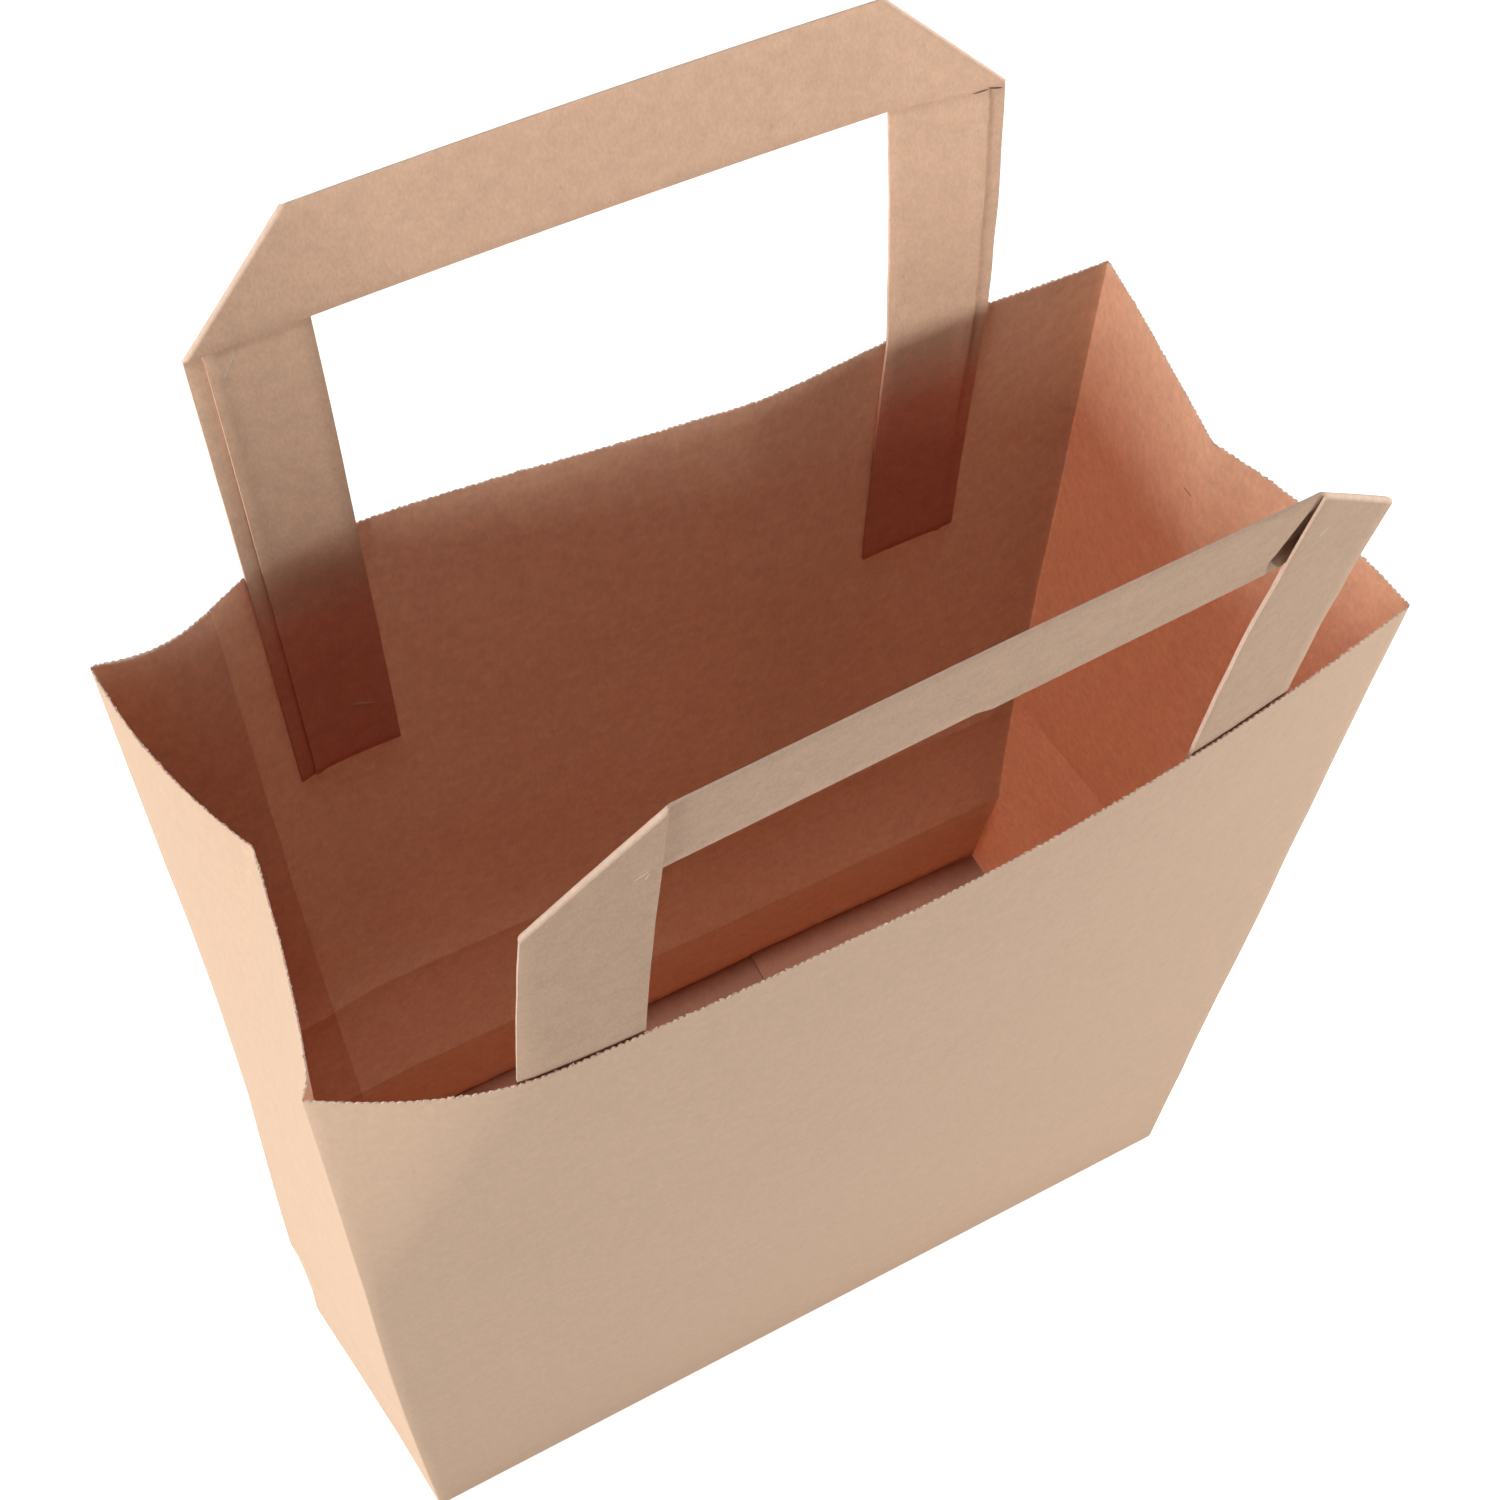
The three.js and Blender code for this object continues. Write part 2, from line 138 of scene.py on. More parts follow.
def back_bow(x, share):
    bow = 0
    for bulge in BACK_BOWS:
        reach = bulge["left"] if x < bulge["x"] else bulge["right"]
        bow += bulge["height"] * math.exp(-(abs((x - bulge["x"]) / reach) ** bulge["sharpness"]))
    return bow * (1 - (2 * share - 1) ** BACK_HOLD_POWER)


def wall_y(side, x, z):
    """The outer face of the front or back wall."""
    left_x, left_y = corner_edge(LEFT, side, z)
    right_x, right_y = corner_edge(RIGHT, side, z)
    share = clamp((x - left_x) / (right_x - left_x))
    growth = max(z / HEIGHT, 0) ** BOW_GROWTH
    if side == FRONT:
        return mix(left_y, right_y, share) - front_bow(share) * growth + corner_bend(x, z)
    return mix(left_y, right_y, share) + back_bow(x, share) * growth


print("front wall at mid rim, mm:", round(wall_y(FRONT, 0, HEIGHT) / MM, 1))

# %% The gussets
GUSSET_POP = 7.2 * MM
GUSSET_TUCK = {LEFT: 11.3 * MM, RIGHT: 9.2 * MM}
GUSSET_HOLD = {LEFT: 2.0, RIGHT: 1.0}
GUSSET_CURL = {(LEFT, BACK): 2.0, (LEFT, FRONT): 0.6, (RIGHT, BACK): 1.2, (RIGHT, FRONT): 1.9}
GUSSET_BELLY = {(LEFT, BACK): 1.0 * MM}


def gusset_out(side_x, side_y, inset, z):
    """How far a gusset half stands out: inset is 0 at the corner edge and 1 at the centre fold."""
    if z <= CREASE_HEIGHT:
        return GUSSET_POP * min(inset, z / CREASE_HEIGHT)
    share = (z - CREASE_HEIGHT) / (HEIGHT - CREASE_HEIGHT)
    half = (side_x, side_y)
    depth = mix(GUSSET_POP, -GUSSET_TUCK[side_x], share ** GUSSET_HOLD[side_x])
    folded = depth * inset ** mix(1, GUSSET_CURL[half], share)
    return folded + GUSSET_BELLY.get(half, 0) * math.sin(math.pi * inset) * math.sin(math.pi * share)


def gusset_point(side_x, side_y, inset, z):
    """A point of a gusset half on the opened bag."""
    near_x, near_y = corner_edge(side_x, side_y, z)
    far_x, far_y = corner_edge(side_x, -side_y, z)
    if side_x == LEFT:
        bent = wall_y(FRONT, corner_edge(LEFT, FRONT, z)[0], z)
        near_y, far_y = (bent, far_y) if side_y == FRONT else (near_y, bent)
    x = mix(near_x, (near_x + far_x) / 2, inset) + side_x * gusset_out(side_x, side_y, inset, z)
    return x, mix(near_y, (near_y + far_y) / 2, inset)


print("left gusset fold at rim, mm:", [round(v / MM, 1) for v in gusset_point(LEFT, FRONT, 1, HEIGHT)])

# %% [markdown]
# The sheet. A real bag starts as a flat tube; in Blender the shortest way to a clean net of squares is
# the opened box. A grid makes the floor, its border is extruded up to make all four walls, and the walls
# are cut into rows, so that every fold of the real pattern falls on an edge of the net.

# %% Helpers for edit mode
KINDS = {"VERT": "verts", "EDGE": "edges", "FACE": "faces"}
NEAR = 0.01 * MM


def pick(kind, test):
    """Selects the points, edges or faces of the mesh in edit mode that pass a test of their place."""
    bpy.ops.mesh.select_mode(type=kind)
    bpy.ops.mesh.select_all(action="DESELECT")
    net = bmesh.from_edit_mesh(bpy.context.object.data)
    chosen = [part for part in getattr(net, KINDS[kind]) if test(part)]
    for part in chosen:
        part.select_set(True)
    net.select_flush_mode()
    bmesh.update_edit_mesh(bpy.context.object.data)
    return len(chosen)


def middle(part):
    """The middle of an edge, or the centre of a face."""
    if isinstance(part, bmesh.types.BMEdge):
        return (part.verts[0].co + part.verts[1].co) / 2
    return part.calc_center_median()


def apply_modifier(piece, kind, **settings):
    """Adds a modifier to a piece with these settings and applies it."""
    bpy.context.view_layer.objects.active = piece
    modifier = piece.modifiers.new(kind.lower(), kind)
    for name, value in settings.items():
        setattr(modifier, name, value)
    bpy.ops.object.modifier_apply(modifier=modifier.name)


# %% Floor and walls as a net of squares
CELL = 2.5 * MM
FIRST_ROW = 10 * MM

bpy.ops.mesh.primitive_grid_add(
    x_subdivisions=round(WIDTH / CELL), y_subdivisions=round(DEPTH / CELL), size=1, location=(0, 0, 0)
)
bag = bpy.context.object
bag.name = "bag_sheet"
bag.scale = (WIDTH, DEPTH, 1)
bpy.ops.object.transform_apply(location=True, rotation=True, scale=True)
bpy.ops.object.mode_set(mode="EDIT")
pick("EDGE", lambda edge: edge.is_boundary)
bpy.ops.mesh.extrude_edges_move(TRANSFORM_OT_translate={"value": (0, 0, HEIGHT)})


def upright(edge):
    return abs(edge.verts[0].co.z - edge.verts[1].co.z) > NEAR


pick("EDGE", upright)
bpy.ops.mesh.subdivide(number_cuts=round(HEIGHT / FIRST_ROW) - 1)
pick("EDGE", upright)
bpy.ops.mesh.subdivide(number_cuts=round(FIRST_ROW / CELL) - 1)
bpy.ops.mesh.select_all(action="SELECT")
bpy.ops.mesh.normals_make_consistent(inside=False)
print("net of the bag:", len(bmesh.from_edit_mesh(bag.data).faces), "squares")

# %% [markdown]
# The folds. A block bottom leaves two slanted folds on each gusset, from the floor's corners up to the
# centre fold, and two level ones on the gussets and the back wall: where the bottom was folded over, and
# where its flap lay. The slanted ones are cut with bisect, and so is the edge of the glued side seam. How
# much thicker that seam and the glued foot of the back wall are is a guess, made to match their shade.
# All folds get a bevel weight, so that one modifier can round them later.

# %% Cut the slanted folds
def on_gusset(part):
    return abs(abs(middle(part).x) - WIDTH / 2) < NEAR


def below_crease(face, side_y):
    """Whether a face lies on this half of a gusset, below the level fold."""
    place = middle(face)
    return on_gusset(face) and place.y * side_y > 0 and place.z < CREASE_HEIGHT


for side_y in (FRONT, BACK):
    pick("FACE", lambda face: below_crease(face, side_y))
    bpy.ops.mesh.bisect(plane_co=(0, side_y * DEPTH / 2, 0), plane_no=(0, side_y, 1), threshold=NEAR)
print("net with slanted folds:", len(bmesh.from_edit_mesh(bag.data).faces), "faces")

# %% Cut the edge of the side seam
SIDE_SEAM_X = -86 * MM
SIDE_SEAM_STEP = 0.12 * MM
SIDE_SEAM_PLY = 0.12 * MM
GLUED_FOOT_PLY = 0.09 * MM


def on_back_wall(part):
    return abs(middle(part).y - DEPTH / 2) < NEAR


for edge_x in (SIDE_SEAM_X, SIDE_SEAM_X + SIDE_SEAM_STEP):
    pick("FACE", on_back_wall)
    bpy.ops.mesh.bisect(plane_co=(edge_x, 0, 0), plane_no=(1, 0, 0), threshold=NEAR)
print("net with the side seam:", len(bmesh.from_edit_mesh(bag.data).faces), "faces")

# %% Mark every fold
LEVEL_NORMAL = 0.5


def off_slant(point):
    """Distance in height from the slanted fold of this gusset half."""
    return abs(point.z - (DEPTH / 2 - abs(point.y)))


def is_fold(edge):
    ends = [end.co for end in edge.verts]
    if all(abs(end.z) < NEAR for end in ends):
        return len([f for f in edge.link_faces if abs(f.normal.z) > LEVEL_NORMAL]) == 1
    if abs(ends[0].z - ends[1].z) < NEAR:
        at_fold = any(abs(ends[0].z - height) < NEAR for height in (CREASE_HEIGHT, IMPRINT_HEIGHT))
        return at_fold and middle(edge).y > -DEPTH / 2 + NEAR
    if on_gusset(edge) and all(off_slant(end) < NEAR for end in ends):
        return True
    at_corner = all(abs(abs(end.y) - DEPTH / 2) < NEAR for end in ends)
    at_centre = all(abs(end.y) < NEAR for end in ends) and middle(edge).z > CREASE_HEIGHT
    return on_gusset(edge) and (at_corner or at_centre)


folds = pick("EDGE", is_fold)
bpy.ops.transform.edge_bevelweight(value=1.0)
print("edges on folds:", folds)

# %% [markdown]
# The give of a used bag. Each point of the straight box now moves to where the opened bag has it, by the
# functions at the top. A little slow noise on top of that keeps the light from lying dead flat on the
# walls; it grows with height, because the glued floor holds the lower part straight.

# %% Move the box to the opened shape
WAVES = ((0.45 * MM, 55 * MM), (0.16 * MM, 19 * MM))
GUSSET_WAVE_SEED = 3
FRONT_RIDGE = {"z": IMPRINT_HEIGHT, "height": 0.16 * MM, "reach": 1.2 * MM}
BACK_RIDGES = (
    {"z": IMPRINT_HEIGHT, "height": -1.2 * MM, "reach": 9 * MM},
    {"z": CREASE_HEIGHT, "height": -0.5 * MM, "reach": 7 * MM},
)
GUSSET_RIDGES = (
    {"z": IMPRINT_HEIGHT, "height": 1.2 * MM, "reach": 9 * MM},
    {"z": CREASE_HEIGHT, "height": 1.1 * MM, "reach": 11 * MM},
)
RIDGE_FADE = 9 * MM


def wave(point, seed):
    """A slow wave in the paper at a point, in metres."""
    total = 0
    for size, length in WAVES:
        total += size * noise.noise(point / length + Vector((seed, seed, seed)))
    return total * smooth(point.z, 0, CREASE_HEIGHT)


def waved_wall_y(side, x, z):
    """The outer face of the front or back wall with its slow waves, which the glued legs follow."""
    left_x, right_x = corner_edge(LEFT, side, z)[0], corner_edge(RIGHT, side, z)[0]
    straight_x = ((x - left_x) / (right_x - left_x) - 0.5) * WIDTH
    return wall_y(side, x, z) + wave(Vector((straight_x, side * DEPTH / 2, z)), side)


def ridge_at(ridge, z):
    """How far a fold line stands out: a sharp crest that runs out up and down the wall."""
    return ridge["height"] * math.exp(-abs(z - ridge["z"]) / ridge["reach"])


def opened(point):
    """Where a point of the straight box lies on the opened bag."""
    z = point.z
    if z < NEAR:
        return Vector((point.x, point.y, PAPER))
    if abs(abs(point.y) - DEPTH / 2) < NEAR:
        side = FRONT if point.y < 0 else BACK
        left_x, right_x = corner_edge(LEFT, side, z)[0], corner_edge(RIGHT, side, z)[0]
        x = mix(left_x, right_x, point.x / WIDTH + 0.5)
        ridges = (FRONT_RIDGE,) if side == FRONT else BACK_RIDGES
        held = smooth(WIDTH / 2 - abs(point.x), 0, RIDGE_FADE)
        relief = sum(ridge_at(ridge, z) for ridge in ridges) * held
        return Vector((x, wall_y(side, x, z) + wave(point, side) + side * relief, z))
    side_x = LEFT if point.x < 0 else RIGHT
    side_y = FRONT if point.y < 0 else BACK
    x, y = gusset_point(side_x, side_y, 1 - abs(point.y) / (DEPTH / 2), z)
    held = smooth(DEPTH / 2 - abs(point.y), 0, RIDGE_FADE)
    relief = sum(ridge_at(ridge, z) for ridge in GUSSET_RIDGES)
    return Vector((x + held * (wave(point, GUSSET_WAVE_SEED) + side_x * relief), y, z))


def extra_ply(point):
    """Paper and glue behind a point of the straight box: the side seam and the back wall's glued foot."""
    if abs(point.y - DEPTH / 2) > NEAR or point.z < NEAR:
        return 0
    if -WIDTH / 2 + NEAR < point.x < SIDE_SEAM_X + NEAR:
        return SIDE_SEAM_PLY
    return GLUED_FOOT_PLY * smooth(CREASE_HEIGHT - point.z, 0, CREASE_HEIGHT / 2)


bpy.ops.object.mode_set(mode="OBJECT")
plies_group = bag.vertex_groups.new(name="plies")
for vertex in bag.data.vertices:
    thickness = PAPER + extra_ply(vertex.co)
    plies_group.add([vertex.index], thickness / (PAPER + SIDE_SEAM_PLY), "REPLACE")
    vertex.co = opened(vertex.co)
print("opened bag, mm:", [round(size / MM, 1) for size in bag.dimensions])

# %% Round the folds
FOLD_ROUND = 0.45 * MM
apply_modifier(
    bag,
    "BEVEL",
    limit_method="WEIGHT",
    width=FOLD_ROUND,
    segments=2,
    use_clamp_overlap=True,
    harden_normals=False,
)
print("rounded folds:", len(bag.data.polygons), "faces")

# %% [markdown]
# The rim was cut by a toothed knife, so it is a row of small uneven teeth. Its edges are subdivided and
# every second point is drawn down a little, by a seeded amount. Then Solidify gives the sheet its
# thickness, and the inner face and the cut edge get finishes of their own.

# %% Cut the toothed rim
TOOTH = 0.62 * MM
TOOTH_SHARES = (0.55, 1.0)
TEETH_SEED = 11
RIM_CUTS = 3
teeth = random.Random(TEETH_SEED)

bpy.ops.object.mode_set(mode="EDIT")
pick("EDGE", lambda edge: edge.is_boundary and middle(edge).z > HEIGHT - NEAR)
bpy.ops.mesh.subdivide(number_cuts=RIM_CUTS)
net = bmesh.from_edit_mesh(bag.data)
rim = [edge for edge in net.edges if edge.is_boundary]
point = rim[0].verts[0]
walked = set()
tooth_count = 0
while point is not None and point not in walked:
    walked.add(point)
    onward = [e.other_vert(point) for e in point.link_edges if e.is_boundary]
    if len(walked) % 2 == 0:
        point.co.z -= TOOTH * teeth.uniform(*TOOTH_SHARES)
        tooth_count += 1
    point = next((p for p in onward if p not in walked), None)
bmesh.update_edit_mesh(bag.data)
bpy.ops.object.mode_set(mode="OBJECT")
print("teeth in the rim:", tooth_count)

# %% Give the sheet its thickness
INNER_SLOT = 1
CUT_EDGE_SLOT = 2

for name in ("outer_face", "inner_face", "cut_edge"):
    bag.data.materials.append(bpy.data.materials.new(name))
apply_modifier(
    bag,
    "SOLIDIFY",
    thickness=PAPER + SIDE_SEAM_PLY,
    vertex_group="plies",
    offset=-1,
    use_even_offset=False,
    material_offset=INNER_SLOT,
    material_offset_rim=CUT_EDGE_SLOT,
)
print("sheet with thickness:", len(bag.data.polygons), "faces")

# %% Pull loose fibres out of the cut edge
FIBRES = ((0.30, 0.15 * MM), (0.30, 0.30 * MM), (0.25, 0.10 * MM))

bpy.ops.object.mode_set(mode="EDIT")
for share, length in FIBRES:
    picked = pick("FACE", lambda face: face.material_index == CUT_EDGE_SLOT and teeth.random() < share)
    bpy.ops.mesh.poke(offset=length)
    print("fibres of", round(length / MM, 2), "mm:", picked)
bpy.ops.object.mode_set(mode="OBJECT")

# %% [markdown]
# The bottom plies. On the floor the two end flaps lie one over the other and spring up by a few
# millimetres at the back. Underneath, the outer long flap closes the block bottom with slanted sides.
# Each ply is a plane that is pulled to its outline and extruded by the thickness of the paper, then
# joined to the sheet.

# %% Flaps of the block bottom
FLAP_GAP = 1.2 * MM
FLAPS = (
    {"held": LEFT, "free": 38 * MM, "front": (0.3 * MM, 0.6 * MM), "back": (3.0 * MM, 4.6 * MM)},
    {"held": RIGHT, "free": 33 * MM, "front": (0.3 * MM, 1.4 * MM), "back": (1.8 * MM, 5.7 * MM)},
)
LONG_FLAP_TIP = (40 * MM, -20 * MM)


def ply(name, corners, low, thickness):
    """A flat paper ply on four corner points given as (x, y, lift)."""
    bpy.ops.mesh.primitive_plane_add(size=1)
    made = bpy.context.object
    made.name = name
    for vertex, (x, y, lift) in zip(made.data.vertices, corners):
        vertex.co = (x, y, low + lift)
    bpy.ops.object.mode_set(mode="EDIT")
    bpy.ops.mesh.select_all(action="SELECT")
    bpy.ops.mesh.extrude_region_move(TRANSFORM_OT_translate={"value": (0, 0, thickness)})
    bpy.ops.mesh.select_all(action="SELECT")
    bpy.ops.mesh.normals_make_consistent(inside=False)
    bpy.ops.object.mode_set(mode="OBJECT")
    return made


flap_end = WIDTH / 2 - FLAP_GAP
flap_side = DEPTH / 2 - FLAP_GAP
plies = []
for flap in FLAPS:
    corners = []
    for y, (held_lift, free_lift) in ((-flap_side, flap["front"]), (flap_side, flap["back"])):
        corners += sorted([(flap["held"] * flap_end, y, held_lift), (flap["free"], y, free_lift)])
    plies.append(ply("end_flap", corners, 2 * PAPER, PAPER))
tip_x, tip_y = LONG_FLAP_TIP
long_flap = [(-tip_x, tip_y, 0), (tip_x, tip_y, 0), (-flap_end, flap_side, 0), (flap_end, flap_side, 0)]
plies.append(ply("long_flap", long_flap, 0, PAPER))
print("plies of the bottom:", [made.name for made in plies])

# %% [markdown]
# A handle is one strip, folded flat to several plies and folded over at two corners. It is made just so:
# a long grid of the whole unfolded strip is turned by 45 degrees, so that the first corner fold lies
# along X and the second along Y, and each fold is rolled over in six small turns. That gives a rounded
# fold and two layers.

# %% Sizes of the strips
STRIP_WIDTH = 22.8 * MM
STRIP_THICKNESS = 0.5 * MM
STRIP_ROW = 2.5 * MM
STRIP_COLUMNS = 8
HANDLE_WIDTH = 155.5 * MM
GLUED_LENGTH = 75 * MM
LEG_CLEAR = 0.6 * MM
LEG_MIDDLE = 0.3 * MM
GAPE_REACH = 60 * MM
FOLD_RADIUS = 0.37 * MM
FOLD_TURNS = 6
SEAM_INSET = 3.4 * MM
SEAM_PLY = 0.24 * MM
SEAM_LIFT = 0.3 * MM
HALF_HANDLE = HANDLE_WIDTH / 2
LEG_EDGE = HALF_HANDLE - STRIP_WIDTH
BAR_LEVEL = 1.5 * FOLD_RADIUS
HANDLES = {
    "front_strip": {
        "side": FRONT, "x": 2.3 * MM, "rise": 84.4 * MM, "lean": 0.8, "bend": 5.4,
        "sway": 2 * MM, "tip": 1.2 * MM, "turn": 1.8 * MM, "gape": 0.5 * MM, "arch": 0,
    },
    "rear_strip": {
        "side": BACK, "x": -1.2 * MM, "rise": 76.4 * MM, "lean": 8.3, "bend": 6.8,
        "sway": 1.4 * MM, "tip": 4.9 * MM, "turn": 2 * MM, "gape": 0, "arch": 1.2 * MM,
    },
}


def bar_low(handle):
    return handle["rise"] - STRIP_WIDTH


def strip_end(handle):
    """Length of the unfolded strip above the rim: leg, bar and leg, and the second glued part."""
    return 2 * bar_low(handle) + HANDLE_WIDTH + GLUED_LENGTH


print("unfolded strips, mm:", [round((strip_end(h) + GLUED_LENGTH) / MM) for h in HANDLES.values()])


# %% The unfolded strip
def turn(angle, axis, center):
    """Turns the selection about a main axis through a point; with no window the sign is the other way."""
    bpy.ops.transform.rotate(value=-angle, orient_axis=axis, center_override=center)


def flat_strip(name, handle):
    """The whole strip laid flat: X across it, Y along it, with its own flat map."""
    length = strip_end(handle) + GLUED_LENGTH
    bpy.ops.mesh.primitive_grid_add(
        x_subdivisions=STRIP_COLUMNS,
        y_subdivisions=round(length / STRIP_ROW),
        size=1,
        location=(STRIP_WIDTH / 2 - HALF_HANDLE, length / 2 - GLUED_LENGTH, 0),
    )
    strip = bpy.context.object
    strip.name = name
    strip.scale = (STRIP_WIDTH, length, 1)
    bpy.ops.object.transform_apply(location=True, rotation=True, scale=True)
    bpy.ops.object.mode_set(mode="EDIT")
    bpy.ops.mesh.select_all(action="SELECT")
    seam = (SEAM_INSET - HALF_HANDLE, 0, 0)
    bpy.ops.mesh.bisect(plane_co=seam, plane_no=(1, 0, 0), threshold=NEAR)
    return strip


def flat_places(strip, handle):
    """For each point of the strip: its place on the unfolded strip, by the flat map, and where it is now."""
    length = strip_end(handle) + GLUED_LENGTH
    net = bmesh.from_edit_mesh(strip.data)
    net.verts.index_update()
    flat_map = net.loops.layers.uv.active
    places = []
    for vertex in net.verts:
        across, along = vertex.link_loops[0][flat_map].uv
        flat = (across * STRIP_WIDTH - HALF_HANDLE, along * length - GLUED_LENGTH)
        places.append((vertex.index, flat, vertex.co.copy()))
    return places


# %% Roll the corner folds over
FOLD_BAND = math.pi * FOLD_RADIUS
RUBBED_HIGHLIT_SLOT = 1
ROOT_HALF = math.sqrt(0.5)


def fold_over(strip, handle, axis, distance):
    """Rolls all of the strip beyond a slanted line over, in small turns about lines along an axis."""
    for step in range(FOLD_TURNS):
        line = FOLD_BAND * (step / FOLD_TURNS - 0.5)
        places = flat_places(strip, handle)
        center = next(now for index, flat, now in places if abs(distance(flat) - line) < NEAR)
        beyond = {index for index, flat, now in places if distance(flat) > line + NEAR}
        pick("VERT", lambda vertex: vertex.index in beyond)
        turn(math.pi / FOLD_TURNS, axis, center)


def folded_strip(name, handle):
    """The strip with its two corners folded over, still flat: X along the rim, Y up, Z into the bag."""
    strip = flat_strip(name, handle)
    for finish in (name, name + "_rubbed_highlit"):
        strip.data.materials.append(bpy.data.materials.new(finish))
    slant = bar_low(handle) + HALF_HANDLE

    def past_first(place):
        return (place[1] - place[0] - slant) * ROOT_HALF

    def past_second(place):
        return (place[1] + place[0] - slant) * ROOT_HALF

    bpy.ops.mesh.select_all(action="SELECT")
    turn(-math.pi / 4, "Z", (0, 0, 0))
    for step in range(FOLD_TURNS + 1):
        line = FOLD_BAND * (step / FOLD_TURNS - 0.5) + slant * ROOT_HALF
        for normal in ((0, 1, 0), (1, 0, 0)):
            bpy.ops.mesh.select_all(action="SELECT")
            bpy.ops.mesh.bisect(plane_co=[line * part for part in normal], plane_no=normal, threshold=NEAR)
    fold_over(strip, handle, "X", past_first)
    fold_over(strip, handle, "Y", past_second)
    edge = FOLD_BAND / 2 + NEAR
    places = flat_places(strip, handle)
    rolled = {
        index for index, flat, now in places if min(abs(past_first(flat)), abs(past_second(flat))) < edge
    }
    # The faces of the rolled folds take the strip's paler second finish: partly rubbing, partly painted
    # highlight.
    pick("FACE", lambda face: all(vertex.index in rolled for vertex in face.verts))
    strip.active_material_index = RUBBED_HIGHLIT_SLOT
    bpy.ops.object.material_slot_assign()
    bpy.ops.mesh.select_all(action="SELECT")
    turn(math.pi / 4, "Z", (0, 0, 0))
    return strip


# %% [markdown]
# The long edge of the folded strip shows as a low step on the inner faces of the legs. It is a second
# ply: the faces of the legs beyond the seam are duplicated and lifted. Then the flat handle is set on its
# wall: the glued legs follow the wall, and above the rim the strip leaves it and bends over in a slow
# curve.

# %% The seam ply and the place of a handle
TUCKED = 2 * MM


def add_seam_ply(strip, handle):
    """Doubles the legs beyond the seam; the copy is thinner than the strip and its free edge lifts off."""
    group = strip.vertex_groups.new(name="plies")
    bpy.ops.object.mode_set(mode="OBJECT")
    group.add(range(len(strip.data.vertices)), 1.0, "REPLACE")
    strip_points = len(strip.data.vertices)
    bpy.ops.object.mode_set(mode="EDIT")
    inner = HALF_HANDLE - SEAM_INSET
    top = bar_low(handle) + TUCKED
    pick("FACE", lambda f: abs(middle(f).x) < inner and middle(f).y < top and abs(middle(f).z) < FOLD_RADIUS)
    bpy.ops.mesh.duplicate()
    lift = (STRIP_THICKNESS + SEAM_PLY) / 2
    bpy.ops.transform.translate(value=(0, 0, lift))
    bpy.ops.object.mode_set(mode="OBJECT")
    group.add(range(strip_points, len(strip.data.vertices)), SEAM_PLY / STRIP_THICKNESS, "REPLACE")
    for vertex in strip.data.vertices[strip_points:]:
        if abs(vertex.co.x) > inner - NEAR and vertex.co.y < top - 2 * TUCKED:
            vertex.co.z += SEAM_LIFT


def on_bar(handle, point):
    """Whether a point of the flat folded handle belongs to the bar, which lies over both legs."""
    return point.z > BAR_LEVEL and point.y > bar_low(handle)


def gape(handle, point):
    """How far the sprung right corner moves a leg, or the bar behind it, outwards."""
    along, up = point.x, point.y
    if on_bar(handle, point):
        share = smooth(along, LEG_EDGE - GAPE_REACH, LEG_EDGE) * (up - bar_low(handle)) / STRIP_WIDTH
    else:
        share = (along > 0) * clamp(up / bar_low(handle)) * clamp((HALF_HANDLE - along) / STRIP_WIDTH)
    return handle["gape"] * share


STRIP_WAVE = {FRONT: 0.2 * MM, BACK: 0.45 * MM, "across": 13 * MM, "along": 45 * MM, "slant": 0.6}
POCKET = {"depth": 1.9 * MM, "width": 3.6 * MM, "slope": 0.4 * MM}


def crease_bar(handle):
    """Cuts the strip in edit mode along the crease at the right end of its bar."""
    from_x = LEG_EDGE - 3 * POCKET["width"]
    for start in (LEG_EDGE, LEG_EDGE + POCKET["slope"]):
        pick("FACE", lambda face: middle(face).z > FOLD_RADIUS and middle(face).x > from_x)
        bpy.ops.mesh.bisect(
            plane_co=(start, handle["rise"], 0), plane_no=(STRIP_WIDTH, -POCKET["width"], 0), threshold=NEAR
        )


def pocket(handle, point):
    """How far the creased right end of the front bar turns away behind its leg."""
    if handle["side"] == BACK or not on_bar(handle, point):
        return 0
    down = clamp((handle["rise"] - point.y) / STRIP_WIDTH)
    past_crease = point.x - (LEG_EDGE - POCKET["width"] * down)
    to_fold = HALF_HANDLE - (point.y - bar_low(handle)) - point.x
    bent = POCKET["depth"] * down * clamp(past_crease / POCKET["slope"])
    return bent * clamp(to_fold / (2 * POCKET["width"]))


def strip_wave(handle, point):
    """A soft slanting wave in the free part of a leg."""
    free = smooth(point.y, 0, STRIP_WIDTH / 2) * smooth(bar_low(handle) - point.y, 0, STRIP_WIDTH / 2)
    slant = STRIP_WAVE["slant"]
    across = (point.x * slant + point.y) / STRIP_WAVE["across"]
    along = (point.x - point.y * slant) / STRIP_WAVE["along"]
    return STRIP_WAVE[handle["side"]] * noise.noise(Vector((across, along, handle["side"]))) * free


